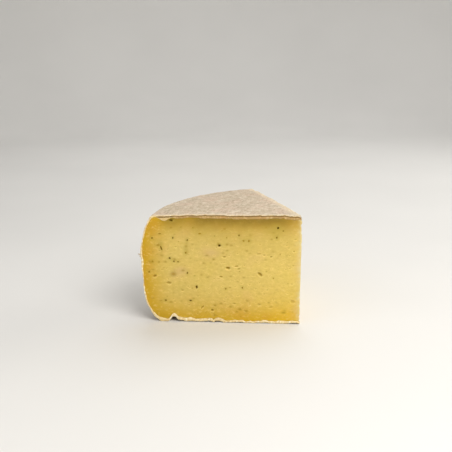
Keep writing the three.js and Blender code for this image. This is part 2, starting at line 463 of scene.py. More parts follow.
def crease(points):
    """How high the crease stands over the floor: a ridge along a circle round the tip line. Its
    size is 1 - 0.85t^2 on its way in from the front cut, and fades out at its end."""
    angle = np.arctan2(points[..., 1], -points[..., 0])
    t = np.clip((angle - CREASE_START) / (CREASE_SWEEP - CREASE_START), 0, 1)
    size = 1 - 0.85 * t**2
    offset = (from_tip_line(points) - CREASE_RADIUS) / size
    fade = 1 - smooth(angle, CREASE_SWEEP - 0.06, CREASE_SWEEP + 0.04)
    return CREASE_HEIGHT * size * fade * np.interp(offset, *CREASE_SECTION)


def underside_relief(points):
    """How far the underside stands off the floor: a smooth maximum, the fourth root of the sum of
    fourth powers, of its slow wave, the crease and the gaps, which are halves of ellipsoids."""
    swell = np.clip(UNDERSIDE_WAVE * wave(points, 5) - UNDERSIDE_REST, 0, None)
    total = swell**4 + crease(points) ** 4
    for distance, length, open_height in EDGE_GAPS:
        along = (points[..., 0] + distance) / (length / 2)
        inwards = points[..., 1] / EDGE_GAP_REACH
        total = total + open_height**4 * np.clip(1 - along**2 - inwards**2, 0, 1) ** 2
    return total**0.25


def top_lift(radius):
    """How far the top stands above its own height, apart from its slow wave: lower near the rim, up
    a little on the way to the tip, down over the last stretch, and drooping at the tip."""
    rise = TOP_RISE * (1 - smooth(radius, 50, 110))
    drop = SHOULDER_DROP * smooth(radius, 106, 119)
    slope = TIP_SLOPE * bell(radius, TIP_SLOPE_REACH)
    return rise - drop - slope - TIP_DROOP * bell(radius, TIP_DROOP_REACH)


def uneven(points):
    """Points after the slow waves: the cuts' sideways, the top's and the underside's upwards and
    the rim's outwards. The tip's upper corner is worn back into the piece."""
    radius = from_tip_line(points)
    z = points[..., 2]
    near_rim = smooth(radius - rim_radius(z), -12, -3)
    moved = points.copy()
    moved[..., 0] += CUT_WAVE * wave(points, 1)
    moved[..., 1] += CUT_WAVE * wave(points, 2)
    lift = TOP_WAVE * wave(points, 4) + top_lift(radius)
    moved[..., 2] += smooth(z, HEIGHT - 14, HEIGHT) * lift
    moved[..., 2] += (1 - smooth(z, 0, 14)) * underside_relief(points)
    level = points * (1, 1, 0) / np.maximum(radius, 1e-6)[..., None]
    moved += level * (near_rim * RIM_WAVE * wave(moved, 3))[..., None]
    wear = TIP_WEAR * smooth(z, HEIGHT - 5, HEIGHT) * bell(radius, TIP_WEAR_REACH)
    return moved + outward(CUT_ANGLE / 2) * wear[..., None]


def from_cuts(points):
    """How far points are from the nearer of the two cuts' planes."""
    return np.minimum(np.abs(points @ sideways(0)), np.abs(points @ sideways(CUT_ANGLE)))


def thickness(points, metres):
    """The rind's thickness in millimetres under points of its outside: its own in metres, times 1
    plus noise of two sizes."""
    return metres * 1000 * (1 + 0.2 * noise(points, 6, 3) + 0.16 * noise(points, 2.3, 4))


def thicknesses(plan, height, rind):
    """The thicknesses of the rim's rind at a height, and of the underside's and the top's at a
    level place. The rim's is more at the shred, the underside's less near the tip and up the rim
    and more over the crease, and the top's less near the rim and over the tear, and more at the
    torn lip."""
    radius = from_tip_line(plan)
    out = plan / np.maximum(radius, 1e-6)[..., None]
    wall = out * rim_radius(height)[..., None] + UP * height[..., None]
    rim = thickness(wall, rind.rim) + 0.6 * bell(height - 56, 8) * bell(plan[..., 1], 6)
    swollen = 3.2 * crease(plan) / CREASE_HEIGHT - 0.6 * (1 - smooth(radius, 40, 100))
    underside = thickness(plan, rind.underside) + swollen + 0.3 * smooth(radius, 112, 117)
    underside = underside * (1 - 0.6 * smooth(height, 1.5, 9) * smooth(radius, 110, 117))
    thinned = thickness(plan + UP * HEIGHT, rind.top) * (1 - 0.65 * smooth(radius, 119, 125))
    thinned += 0.3 * (1 - smooth(radius, 35, 60)) - 1.3 * bell(radius - TEAR[0], 4)
    return rim, underside, thinned + 1.9 * bell(plan[..., 0] + 117.5, 3.2) * bell(plan[..., 1], 3)


def layer(plan, height, inset, rind):
    """A point between the rind's outside, inset 0, and its inside, inset 1, from its level place
    and height on the outside. The radius shrinks by the rim's share, and the height is squeezed
    between the underside's thickness and the top's. The slow waves come last."""
    rim, underside, top = thicknesses(plan, height, rind)
    low = inset * underside
    high = HEIGHT - inset * top
    z = low + (high - low) * height / HEIGHT
    return uneven(plan * (1 - inset * rim / rim_radius(height))[..., None] + UP * z[..., None])


def in_ellipse(along, height, mark):
    """1 - q^2 inside a tilted ellipse, where q runs from 0 at its centre to 1 at its outline, and
    0 outside. The mark is its distance, height, length, opening and tilt."""
    distance, centre, length, opening, tilt = mark
    turn = math.radians(tilt)
    lengthwise = (along - distance) * math.cos(turn) - (height - centre) * math.sin(turn)
    upright = (along - distance) * math.sin(turn) + (height - centre) * math.cos(turn)
    return np.clip(1 - (2 * lengthwise / length) ** 2 - (2 * upright / opening) ** 2, 0, 1)


def back_eyes():
    """The eyes of the back cut, drawn by the frame's own rule, a multiplying generator, so that
    they stand where the solid has them."""
    drawn, factor, modulus = DRAW_RULE
    eyes = []
    while len(eyes) < BACK_EYE_COUNT:
        numbers = []
        for _ in range(5):
            drawn = drawn * factor % modulus
            numbers.append(drawn / modulus)
        z = 9 + (HEIGHT - 18) * numbers[0]
        distance = 8 + (rim_radius(z) - 18) * numbers[1]
        length = 2 + 2.4 * numbers[2] ** 2
        if all(math.hypot(eye[0] - distance, eye[1] - z) > 7 for eye in eyes):
            opening = length * (0.4 + 0.4 * numbers[3])
            eyes.append((distance, z, length, opening, 60 * numbers[4] - 30, 0.8))
    return eyes


def small_slits(cut):
    """Fine, nearly level openings spread over a cut by chance, a little denser in its lower half,
    as rows like an eye's."""
    count = 120
    rng = np.random.default_rng(5 + cut)
    z = 8 + (HEIGHT - 28) * rng.random(count) ** 1.1
    distance = 5 + (rim_radius(z) - 13) * rng.random(count)
    length = rng.uniform(0.9, 2.6, count)
    opening = rng.uniform(0.6, 1.1, count)
    rows = [distance, z, length, opening, rng.uniform(-18, 18, count), np.full(count, 0.4)]
    return np.stack(rows, -1).tolist()


def faint_marks(cut):
    """Blurred darker marks of leaf and eyes just under a cut, as rows of distance, height, half
    length, half height and strength: on the front those listed, and a seeded spread."""
    count = 210 if cut else 130
    rng = np.random.default_rng(71 + cut)
    z = 5 + (HEIGHT - 12) * rng.random(count)
    distance = 5 + (rim_radius(z) - 12) * rng.random(count) ** 0.85
    half_length = rng.uniform(0.5, 1.5, count)
    half_height = half_length * rng.uniform(0.5, 1.0, count)
    strength = 0.7 * rng.random(count) ** 1.6
    spread = np.stack([distance, z, half_length, half_height, strength], -1).tolist()
    return spread if cut else [*FRONT_MARKS, *spread]


def fleck_places(settings):
    """The flecks of each cut as rows of distance, height, length, opening and dryness: those listed
    for the front, and a seeded spread that is denser towards the rim's upper half."""
    cuts = ((settings.front_count, 4, (0.5, 1)), (settings.back_count, 1.2, (0, 0.8)))
    spreads = []
    for cut, (count, shortness, dryness) in enumerate(cuts):
        rng = np.random.default_rng(41 + cut)
        z = 8 + (HEIGHT - 16) * rng.random(count) ** 0.8
        distance = 7 + (rim_radius(z) - 15) * rng.random(count) ** 0.7
        length = settings.longest * 1000 * (0.4 + 0.6 * rng.random(count) ** shortness)
        opening = length * rng.uniform(0.5, 1.1, count)
        rows = [distance, z, length, opening, rng.uniform(*dryness, count)]
        spreads.append(np.stack(rows, -1))
    return np.concatenate([FRONT_FLECKS, spreads[0]]), spreads[1]


def grid_quads(rows, columns):
    """The four-sided faces of a tube of rows, each a ring of columns."""
    row = np.arange(rows - 1)[:, None] * columns
    here = np.arange(columns)
    after = (here + 1) % columns
    quads = np.stack([row + here, row + after, row + columns + after, row + columns + here], -1)
    return quads.reshape(-1, 4)


def grid_faces(rows, columns):
    """The faces of a tube of rows, each a ring of columns, with both ends closed by a fan to one
    point. The end points come after the grid's own."""
    start = rows * columns
    last = start - columns
    turns = [(here, (here + 1) % columns) for here in range(columns)]
    first_fan = [(start, after, here) for here, after in turns]
    last_fan = [(start + 1, last + here, last + after) for here, after in turns]
    return grid_quads(rows, columns).tolist() + first_fan + last_fan


def balls(centres, axes, sizes, seed, roughness):
    """Uneven balls: unit directions times each ball's three half sizes along its three axes, with
    each point drawn in or out by chance. The second axis is turned round where the three aren't
    right-handed, so that faces point outwards. Returns points in the frame's metres, and faces."""
    rise = np.radians([-54, -18, 18, 54])[:, None]
    turn = np.radians(np.arange(0, 360, 45))
    rings = np.cos(rise) * np.cos(turn), np.cos(rise) * np.sin(turn), np.sin(rise) + 0 * turn
    unit = np.concatenate([np.stack(rings, -1).reshape(-1, 3), [-UP], [UP]])
    rng = np.random.default_rng(seed)
    uneven_radius = 1 + roughness * rng.uniform(-1, 1, (len(centres), len(unit), 1))
    local = unit * uneven_radius * sizes[:, None, :]
    local[..., 1] *= np.sign(np.linalg.det(axes))[:, None]
    points = centres[:, None, :] + np.einsum("nki,nij->nkj", local, axes)
    starts = len(unit) * np.arange(len(centres))
    one = grid_faces(len(rise), len(turn))
    faces = [tuple(start + corner for corner in face) for start in starts.tolist() for face in one]
    return points.reshape(-1, 3) / 1000 + tip_place(), faces


class Signal:
    """An output socket of a finish. An expression on it adds its Math nodes."""

    def __init__(self, finish, socket):
        self.finish = finish
        self.socket = socket

    def _maths(self, operation, first, second):
        sockets = {"Value": first, "Value_001": second}
        return self.finish.node("ShaderNodeMath", {"operation": operation}, sockets)

    def __add__(self, other):
        return self._maths("ADD", self, other)

    def __radd__(self, other):
        return self._maths("ADD", other, self)

    def __sub__(self, other):
        return self._maths("SUBTRACT", self, other)

    def __rsub__(self, other):
        return self._maths("SUBTRACT", other, self)

    def __mul__(self, other):
        return self._maths("MULTIPLY", self, other)

    def __rmul__(self, other):
        return self._maths("MULTIPLY", other, self)

    def __abs__(self):
        return self._maths("ABSOLUTE", self, 0)

    def between(self, low, high):
        """0 below low, 1 above high, and eased between them."""
        sockets = {"Value": self, "From Min": low, "From Max": high}
        return self.finish.node(
            "ShaderNodeMapRange", {"interpolation_type": "SMOOTHSTEP"}, sockets
        )


class Finish:
    """A material whose nodes are added one expression at a time."""

    def __init__(self, name):
        self.material = bpy.data.materials.new(name)
        self.material.use_nodes = True
        self.tree = self.material.node_tree
        self.tree.nodes.clear()

    def node(self, kind, settings, sockets, output=0):
        """Adds a node, makes its settings, then fills its sockets, which go by identifier."""
        node = self.tree.nodes.new(kind)
        for name, value in settings.items():
            setattr(node, name, value)
        for name, value in sockets.items():
            socket = next(each for each in node.inputs if each.identifier == name)
            if isinstance(value, Signal):
                self.tree.links.new(value.socket, socket)
            elif socket.type == "RGBA" and len(value) == 3:
                socket.default_value = (*value, 1)
            else:
                socket.default_value = value
        return Signal(self, node.outputs[output]) if node.outputs else None

    def place(self):
        """The point's place on the object, in metres."""
        return self.node("ShaderNodeTexCoord", {}, {}, "Object")

    def value(self, name):
        """A number that the mesh carries at each point."""
        return self.node("ShaderNodeAttribute", {"attribute_name": name}, {}, "Fac")

    def map(self, name):
        """A point's place on one of the piece's own maps, in millimetres."""
        return self.node("ShaderNodeUVMap", {"uv_map": name}, {})

    def stretched(self, where, factors):
        """A place with each of its parts multiplied by a factor."""
        sockets = {"Vector": where, "Vector_001": factors}
        return self.node("ShaderNodeVectorMath", {"operation": "MULTIPLY"}, sockets)

    def noise(self, where, size, seed, detail):
        """Noise between 0 and 1 with lumps of this size in the units of its place."""
        sockets = {"Vector": where, "W": seed, "Scale": 1 / size, "Detail": detail}
        return self.node("ShaderNodeTexNoise", {"noise_dimensions": "4D"}, sockets)

    def painted(self, colour, *coats):
        """A colour under coats of paint, each a share and the colour that covers the rest by it."""
        for share, paint in coats:
            sockets = {"Factor_Float": share, "A_Color": colour, "B_Color": paint}
            colour = self.node("ShaderNodeMix", {"data_type": "RGBA"}, sockets, "Result")
        return colour

    def bumped(self, *coats):
        """A normal tilted as if each coat stood its metres higher where its height is 1."""
        sockets = {}
        for height, metres in coats:
            sockets |= {"Height": height, "Distance": metres}
            sockets["Normal"] = self.node("ShaderNodeBump", {}, sockets)
        return sockets["Normal"]

    def surface(self, **sockets):
        """Ends the tree in one Principled shader and returns the material."""
        named = {name.replace("_", " "): value for name, value in sockets.items()}
        shader = self.node("ShaderNodeBsdfPrincipled", {}, named)
        self.node("ShaderNodeOutputMaterial", {}, {"Surface": shader})
        return self.material


def tip_place():
    """Where the tip line stands on the floor, in the frame's metres."""
    low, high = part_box("cheese")
    return np.array([high.x, low.y, low.z]) + np.array([*TIP_OFFSET, 0]) / 1000


def mesh_object(name, points, faces, values, material):
    """Adds an object at the origin from points in metres, with a number at each point per value."""
    mesh = bpy.data.meshes.new(name)
    mesh.from_pydata(points.tolist(), [], faces)
    for key, value in values.items():
        mesh.attributes.new(key, "FLOAT", "POINT").data.foreach_set("value", value)
    mesh.shade_smooth()
    mesh.materials.append(material)
    piece = bpy.data.objects.new(name, mesh)
    bpy.context.scene.collection.objects.link(piece)
    return piece


def with_ends(grid):
    """A grid's entries in one row, followed by the means of its first and its last row."""
    return np.concatenate([grid.reshape(-1, *grid.shape[2:]), grid[[0, -1]].mean(1)])


def tube_object(name, points, values, material):
    """Adds a tube from a grid of points about the tip in millimetres, closed at both ends, with a
    number at each point per value."""
    faces = grid_faces(*points.shape[:2])
    values = {key: with_ends(value) for key, value in values.items()}
    return mesh_object(name, with_ends(points) / 1000 + tip_place(), faces, values, material)


def add_map(piece, name, across, along):
    """Gives a piece a map of its own from two numbers for each point."""
    mesh = piece.data
    corner = np.zeros(len(mesh.loops), np.int64)
    mesh.loops.foreach_get("vertex_index", corner)
    both = np.stack([across[corner], along[corner]], -1)
    mesh.uv_layers.new(name=name).data.foreach_set("uv", both.ravel())


def attach(piece):
    """Rides a piece on the root body, in place of the frame's solid."""
    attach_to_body(piece, "root")
    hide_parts("cheese")


def paste_finish(settings):
    """Waxy paste: golden near the rind; olive-brown under the top one, partly its own colour and
    partly painted shade; yellower towards the tip and, as painted light, brighter there; stained by
    the leaf;
    with painted shade in its eyes and slits, darker faint leaf marks, painted highlights on the
    eyes' low lips and a worn tip that is partly a painted highlight; with soft patches and a fine
    grain that both run level."""
    finish = Finish("paste")
    where = finish.place()
    level = finish.stretched(where, (1, 1, 1.7))
    patches = finish.noise(where, 0.024, 1, 1)
    tint = finish.noise(where, 0.017, 4, 1)
    mottle = finish.noise(level, 0.0034, 2, 3)
    grain = finish.noise(level, 0.0013, 3, 2)
    near_tip = finish.value("near_tip")
    margin = finish.value("margin")
    crust = finish.value("crust")
    pit = finish.value("pit")
    pale = (mottle - 0.5) * 0.8 + (grain - 0.5) * 0.5
    # Near the tip the golden margin is yellower and, as painted light, brighter
    golden = finish.painted(settings.golden, (near_tip * 0.9, TIP_GOLDEN_AND_LIGHT))
    colour = finish.painted(
        settings.inner,
        # Towards the tip, most of all low down, the paste is yellower and, as painted light,
        # brighter
        (near_tip * 0.6, TIP_PASTE_AND_LIGHT),
        (tint.between(0.5, 0.7) * 0.4, WARM_PATCH),
        (tint.between(0.48, 0.3) * 0.35, COOL_PATCH),
        (margin + (patches - 0.5) * 0.3, golden),
        (margin * tint.between(0.5, 0.7) * 0.28, ORANGE_PATCH),
        # Olive-brown under the top rind: partly the paste's own colour, partly painted shade
        (crust, OLIVE_CRUST_AND_SHADE),
        (pale.between(0.0, 0.24) * (1 - crust * 1.6) * 0.36, PALE_MOTTLE),
        ((0 - pale).between(0.0, 0.24) * 0.3, DARK_MOTTLE),
        (finish.value("green"), settings.green),
        (finish.value("pink"), settings.pink),
        # Painted highlight on the low lip under each eye and slit
        (finish.value("lip") * (0.75 - margin * 0.4) * (1 - crust * 1.3), EYE_LIP_HIGHLIGHT),
        # Painted shade in the eyes and slits, and the darker faint leaf marks
        (pit, settings.eye_shade_and_marks),
        # Pale tip edge: partly dry wear, partly a painted highlight
        (finish.value("edge") * (0.4 + mottle * 1.2), WORN_EDGE_HIGHLIGHT),
    )
    return finish.surface(
        Base_Color=colour,
        Roughness=0.44 + (mottle - 0.5) * 0.4 + pit * 0.3,
        Normal=finish.bumped((mottle, 0.00035), (grain, 0.00018)),
        Subsurface_Weight=0.25,
        Subsurface_Radius=(1.0, 0.7, 0.28),
        Subsurface_Scale=0.0022,
        Specular_IOR_Level=0.28,
    )


def rind_noises(finish):
    """The rind's noises by name: four by the place, streaks round the wheel, and short strokes from
    the outside to the paste, which carry painted highlights across the cut."""
    where = finish.place()
    around = finish.stretched(finish.map("around"), (0.22, 1, 0))
    section = finish.stretched(finish.map("section"), (1, 0.35, 0))
    return SimpleNamespace(
        patches=finish.noise(where, 0.017, 11, 3),
        blotches=finish.noise(where, 0.0048, 12, 4),
        specks=finish.noise(where, 0.0014, 13, 1),
        fuzz=finish.noise(where, 0.0006, 14, 2),
        streaks=finish.noise(around, 1.3, 15, 3),
        strokes=finish.noise(section, 1.7, 16, 2),
    )


def mould_colour(finish, noises, settings):
    """Grey-beige mould with streaks, pink and olive patches, dark specks and pale bloom, and paler
    on the top, most of all near the cuts, where the paleness is partly paler mould and partly a
    painted highlight on the edge."""
    top = finish.value("top")
    shaded = 0.5 - top * 0.1
    edge = finish.value("near_cut") * top + (noises.blotches - 0.5) * 0.5
    pale = (noises.specks * 0.6 + noises.fuzz * 0.4).between(0.44, 0.32)
    return finish.painted(
        settings.mould,
        (top, settings.face),
        (noises.patches.between(0.46, 0.68) * 0.45, PINK_MOULD),
        (noises.patches.between(0.5, 0.3) * (0.45 - top * 0.25), OLIVE_MOULD),
        (noises.blotches.between(0.46, 0.74) * shaded, settings.shade),
        (noises.streaks.between(0.46, 0.72) * shaded, settings.shade),
        (noises.streaks.between(0.5, 0.3) * 0.3, settings.bloom),
        (noises.blotches.between(0.48, 0.28) * 0.55, settings.bloom),
        # Paler by the cuts on the top: partly paler mould, partly a painted highlight on the edge
        (edge.between(0.1, 0.7) * 0.5, PALE_MOULD_AND_HIGHLIGHT),
        (noises.specks.between(0.58, 0.72) * 0.5, DARK_SPECK),
        (pale * 0.5, settings.bloom),
    )


def cut_rind_colour(finish, noises, settings):
    """The rind where it is cut: a cream band with short strokes across it, white ones of painted
    highlight and darker cream ones between, golden by the paste. On the top it is tan, with paler
    strokes of painted highlight, or, nearer the rim, torn, with a brown line under the mould that
    is partly crust and partly painted shade, and an olive line low on the tan that is partly
    painted shade."""
    depth = finish.value("depth") + (noises.blotches - 0.5) * 0.5
    crusted = finish.value("crusted")
    tanned = crusted * finish.value("tanned")
    torn = crusted * (1 - finish.value("tanned"))
    line = 1 - (abs(depth - 0.7 - torn * 0.3) - torn * 0.2).between(0.2, 0.65)
    below = finish.painted(
        settings.tan,
        (noises.blotches.between(0.4, 0.65) * 0.6, TAN_BLOTCH),
        # Paler strokes: painted highlights on the tan band's small lumps
        (noises.strokes.between(0.5, 0.68) * 0.6, TAN_STROKE_HIGHLIGHT),
    )
    return finish.painted(
        settings.cut,
        # Darker cream strokes between the painted highlights
        (noises.strokes.between(0.42, 0.62) * 0.75, CREAM_STROKE),
        # White strokes: painted highlights on the band's small lumps
        (noises.strokes.between(0.46, 0.3), WHITE_STROKE_HIGHLIGHT),
        (finish.value("golden"), GOLDEN_RIND),
        (tanned * depth.between(0.2, 0.5), below),
        (torn * depth.between(0.2, 0.6) * 0.7, TORN_RIND),
        # Brown line under the mould: partly crust, partly painted shade under its overhanging edge
        (crusted * line * 0.9, settings.crust),
        # Olive low on the tan band: partly its own colour, partly painted shade
        (tanned * depth.between(2.7, 3.6) * 0.85, OLIVE_RIND_AND_SHADE),
    )


def rind_finish(settings):
    """Dry natural rind, with mould on its outside, and paler and banded where it is cut."""
    finish = Finish("rind")
    noises = rind_noises(finish)
    mould = mould_colour(finish, noises, settings)
    cut = cut_rind_colour(finish, noises, settings)
    relief = noises.blotches * 0.5 + noises.specks * 0.5
    return finish.surface(
        Base_Color=finish.painted(mould, (finish.value("cut"), cut)),
        Roughness=0.82 + (noises.blotches - 0.5) * 0.2,
        Normal=finish.bumped((relief, 0.0006), (noises.streaks, 0.0003), (noises.fuzz, 0.0002)),
        Specular_IOR_Level=0.25,
    )


def leaf_finish(settings):
    """Chopped leaf: dark olive or dry brown as the mesh says, with finer mottling."""
    finish = Finish("leaf")
    mottle = finish.noise(finish.place(), 0.0008, 21, 2)
    share = finish.value("dry") + (mottle - 0.5) * 0.7
    return finish.surface(
        Base_Color=finish.painted(settings.leaf, (share.between(0, 1), settings.dry)),
        Roughness=0.75,
        Normal=finish.bumped((mottle, 0.0002)),
        Specular_IOR_Level=0.12,
    )


def floor_finish(settings):
    """Matt pale floor with a barely seen cloudiness."""
    finish = Finish("floor")
    cloud = finish.noise(finish.place(), 0.3, 31, 2)
    darker = tuple(0.96 * part for part in settings.floor)
    colour = finish.painted(settings.floor, (cloud.between(0.3, 0.7), darker))
    return finish.surface(Base_Color=colour, Roughness=0.85, Specular_IOR_Level=0.2)


def paste_loop():
    """The paste's outline in plan: each place's share of the way from the tip's rounding to the
    rim, its start, its direction, its outward direction and its side: 0 the front cut, 1 the tip's
    rounding, 2 the back cut and 3 the rim."""
    graded = np.linspace(1, 0, FRONT_STEPS)
    coarse = np.linspace(0, 1, BACK_STEPS)
    arc = np.linspace(-np.pi / 2, np.pi / 2 - CUT_ANGLE, 6)[1:-1]
    facing = np.stack([np.cos(arc), np.sin(arc), 0 * arc], -1)
    centre = outward(CUT_ANGLE / 2) * TIP_ROUND / math.sin(CUT_ANGLE / 2)
    rim = np.linspace(CUT_ANGLE, 0, 14)[1:-1]
    front = outward(0)
    back = outward(CUT_ANGLE)
    around = outward(rim)
    sides = [
        (graded, TIP_REACH * front, front, -sideways(0)),
        (0 * arc, centre + TIP_ROUND * facing, 0 * facing, facing),
        (coarse, TIP_REACH * back, back, sideways(CUT_ANGLE)),
        (0 * rim + 1, TIP_REACH * around, around, around),
    ]
    share = [side[0] for side in sides]
    vectors = (
        [np.broadcast_to(side[i], (len(side[0]), 3)) for side in sides] for i in (1, 2, 3)
    )
    number = np.repeat(range(len(sides)), [len(part) for part in share])
    return np.concatenate(share), *(np.concatenate(part) for part in vectors), number


def paste_relief(along, height, cut, paste, flecks):
    """How deep each place of a cut lies under its plane, how much painted shade it has inside an
    eye or a slit, or darker colour on a faint leaf mark, and how far it is on the low lip round an
    eye, which stands out a little and carries a painted highlight. The depth in an eye or a slit is
    nearly the square root of in_ellipse's number, and a fleck has a dimple of that number's own
    form."""
    eyes = back_eyes() if cut else [*FRONT_EYES, *FRONT_SLITS, TEAR]
    depth, pit, lip = np.zeros((3, *along.shape))
    for distance, z, length, opening, tilt, shade_strength in [*eyes, *small_slits(cut)]:
        inside = in_ellipse(along, height, (distance, z, length, opening, tilt))
        full = (0.3 + 0.7 * shade_strength) * paste.eye_depth * min(opening, 2.2)
        depth = np.maximum(depth, full * inside**0.55)
        # Painted shade inside the eye
        pit = np.maximum(pit, 0.95 * shade_strength * inside**0.6)
        # The low lip under the eye: it stands out a little, and the finish paints a highlight on it
        wide = (distance, z - 0.35 * opening, length + 1.6, opening + 1.7, tilt)
        lip = np.maximum(lip, (0.3 + 0.6 * shade_strength) * in_ellipse(along, height, wide) * (inside == 0))
    depth = depth - 0.2 * lip
    for distance, z, length, opening, _ in flecks:
        dimple = (distance, z, length * 1.4, opening * 1.4, 0)
        depth = depth + 0.18 * in_ellipse(along, height, dimple)
    for *mark, strength in faint_marks(cut):
        pit = np.maximum(pit, 1.1 * strength * blot(along, height, mark))
    return depth, pit, lip


def paste_stains(along, height, cut, flecks):
    """The green and the greyish pink stains of a cut: bell curves about the flecks and stains."""
    green, pink = np.zeros((2, *along.shape))
    stains = () if cut else STAINS
    for *mark, dry in flecks:
        green = green + 0.6 * (1 - 0.5 * dry) * blot(along, height, mark)
    for *mark, strength, greenness in stains:
        stain = strength * blot(along, height, mark)
        green = green + greenness * stain
        pink = pink + (1 - greenness) * stain
    return np.clip(green, 0, 0.85), np.clip(pink, 0, 0.85)


def golden_margin(points, to_rim, width):
    """How golden the paste is: 1 less the product of three terms 1 - exp(-(d / w)^1.7), where d is
    how far the rim's, the underside's or the top's rind is, plus noise, and w the margin's width,
    which is more by the floor, most of all near the tip, and less under the top."""
    z = points[..., 2]
    to_low = (z + noise(points, 12, 10)) / (1 + 0.25 * bell(from_tip_line(points), 30))
    to_top = HEIGHT - z + noise(points, 9, 12)
    inner = 1
    for distance, share in ((to_rim + noise(points, 12, 9), 1), (to_low, 1.1), (to_top, 0.8)):
        inner = inner * (1 - np.exp(-((np.clip(distance, 0, None) / (share * width)) ** 1.7)))
    return 1 - inner


def worn_tip_and_highlight(points):
    """How pale the edge at the tip is, partly from dry wear and partly as a painted highlight where
    its
    rounding catches the light: exp(-(d / reach)^1.2) of the distance, with a reach of a few
    millimetres, more near the top and the floor, and patchy along the edge."""
    z = points[..., 2]
    reach = 2.2 + 0.3 * smooth(z, 74, 82) + 0.5 * smooth(z, 30, 12)
    reach = reach * (1 + 0.45 * noise(points, 4.5, 13) + 0.25 * noise(points, 1.6, 28))
    distance = np.clip(from_tip_line(points) - TIP_REACH / 2, 0, None)
    return (0.85 + 0.35 * noise(points, 2.6, 29)) * np.exp(-((distance / reach) ** 1.2))


def under_top_crust_and_shade(points, rind):
    """How olive-brown the paste is under the top rind, partly its own colour and partly painted
    shade:
    a steep fall below the rind, weaker by the tip, by the rim and in one stretch between them,
    partly painted shade under the rind's overhanging edge; a faint long painted shadow from above;
    and a painted shade on the low corner by the rim."""
    radius = from_tip_line(points)
    below = HEIGHT - points[..., 2] - rind.top * 1000 + 0.9 * noise(points, 4, 14)
    below = np.clip(below, 0, None)
    # Steep fall under the rind: partly own olive-brown, partly painted shade under the rind's
    # overhanging edge
    crust = 0.9 * np.exp(-((below / 7.5) ** 1.5)) * (1 - 0.4 * bell(radius - 96, 8))
    crust *= (1 - smooth(radius, 112, 124)) * (0.6 + 0.4 * smooth(radius, 4, 24))
    # A faint long painted shadow from above over the upper part of the cut, fading at the tip and
    # towards the rim
    shaded = 0.15 * np.exp(-((below / 32) ** 4)) * (1 - 0.7 * smooth(radius, 85, 110))
    crust += shaded * smooth(radius, 0, 14)
    # A painted shade on the low corner by the rim, which is turned away from the light
    return crust + 0.25 * bell(radius - 123, 9) * bell(points[..., 2] - 2, 6)


def tip_nicks(points):
    """How far small nicks reach into the edge at the tip: noise above a threshold, times a bell
    curve of the distance from the tip."""
    chipped = 1.3 * np.clip(noise(points, 2.4, 27) - 0.12, 0, 0.45)
    return chipped * bell(from_tip_line(points) - TIP_REACH / 2, 1.2)


def build_paste(settings, rind, flecks):
    """The paste: a tube of levels, each running along the front cut, round the tip, along the back
    cut and behind the rim's rind, and closed below and above by rings that shrink to one point."""
    share, start, direction, normal, side = paste_loop()
    levels = np.linspace(0, HEIGHT, UPWARD_STEPS)
    shrink = np.linspace(0.12, 0.94, 7)
    height = np.concatenate([0 * shrink, levels, 0 * shrink + HEIGHT])[:, None]
    scale = np.concatenate([shrink, np.ones(len(levels)), shrink[::-1]])[:, None, None]
    reach = share * (rounded_radius(height) - TIP_REACH)
    middle = outward(CUT_ANGLE / 2) * CLOSING_RADIUS
    plan = middle + (start + direction * reach[..., None] - middle) * scale
    points = layer(plan, height + 0 * reach, PASTE_INSET + 0 * reach, rind)
    depth, *shades = np.zeros((5, *reach.shape))
    values = dict(zip(("pit", "lip", "green", "pink"), shades))
    rows = len(shrink) + np.arange(len(levels))
    for cut in (0, 1):
        here = np.ix_(rows, np.flatnonzero(side == 2 * cut))
        along = points[here] @ outward(cut * CUT_ANGLE)
        place = along, points[here][..., 2], cut
        relief = paste_relief(*place, settings, flecks[cut])
        depth[here], values["pit"][here], values["lip"][here] = relief
        values["green"][here], values["pink"][here] = paste_stains(*place, flecks[cut])
    depth += 0.06 * noise(points, 5, 7) + 0.04 * noise(points, 1.7, 8) + tip_nicks(points)
    points = points - normal * depth[..., None]
    to_rim = (1 - share) * rounded_radius(height)
    upwards = smooth(points[..., 2], 15, 85)
    values["margin"] = golden_margin(points, to_rim, settings.margin * 1000)
    # Towards the tip, most of all low down: a yellower tone and painted light
    values["near_tip"] = bell(from_tip_line(points), 42) * (1 - 0.6 * upwards)
    # Pale tip edge: partly dry wear, partly a painted highlight
    values["edge"] = worn_tip_and_highlight(points)
    # Olive-brown under the top: partly the paste's own colour, partly painted shade
    values["crust"] = under_top_crust_and_shade(points, rind)
    return tube_object("paste", points, values, paste_finish(settings))


def rind_outline():
    """The wheel's outline in section as radius, height, outward direction and path length: along
    the underside from the tip, up the rim with its rounded corners, and back over the top."""
    start = 0.9
    turn = np.linspace(0, np.pi / 2, 6)
    low_z = BOTTOM_ROUND * (1 - np.cos(turn))[1:-1]
    high_z = HEIGHT - TOP_ROUND * (1 - np.sin(turn))[1:-1]
    wall_z = np.linspace(BOTTOM_ROUND, HEIGHT - TOP_ROUND, WALL_STEPS)
    along = np.linspace(0, 1, FLAT_STEPS)
    height = np.concatenate([0 * along, low_z, wall_z, high_z, 0 * along + HEIGHT])
    radius = np.concatenate(
        [
            start + (rim_radius(0) - BOTTOM_ROUND - start) * along,
            rounded_radius(low_z),
            rim_radius(wall_z),
            rounded_radius(high_z),
            start + (rim_radius(HEIGHT) - TOP_ROUND - start) * along[::-1],
        ]
    )
    rise = np.gradient(height)
    run = np.gradient(radius)
    size = np.hypot(rise, run)
    path = np.append(0, np.cumsum(np.hypot(np.diff(height), np.diff(radius))))
    return radius, height, rise / size, -run / size, path


